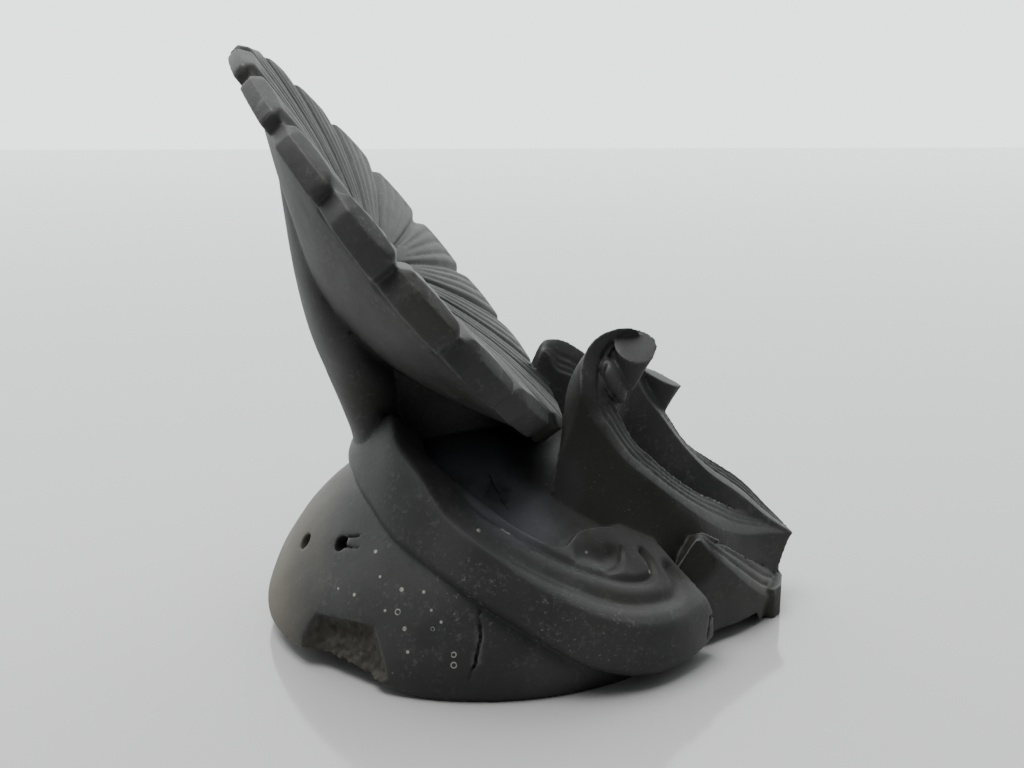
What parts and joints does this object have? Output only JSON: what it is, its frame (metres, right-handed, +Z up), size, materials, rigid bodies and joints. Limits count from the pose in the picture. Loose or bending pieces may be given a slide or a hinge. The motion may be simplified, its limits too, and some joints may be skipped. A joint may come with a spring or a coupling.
{
  "type": "roof end tile",
  "caption": "Smoked clay roof end tile: a hollow hood with stream bands, a prow of breaking waves and a tilted chrysanthemum head, pierced for tying wires.",
  "frame": {"origin": "middle of the tile's outline box in plan, on the surface its rim stands on", "axes": "+X towards the prow of waves, which the flower also leans to; +Z up; the hood is symmetrical about the XZ plane but for the waves' crests"},
  "size_m": [0.2684, 0.2294, 0.2753],
  "materials": {
    "smoked_clay": "matt smoked fired clay, charcoal grey with worn lighter edges and tan patches"
  },
  "bodies": {
    "root": {"roof_end_tile": "smoked_clay"}
  },
  "joints": []
}
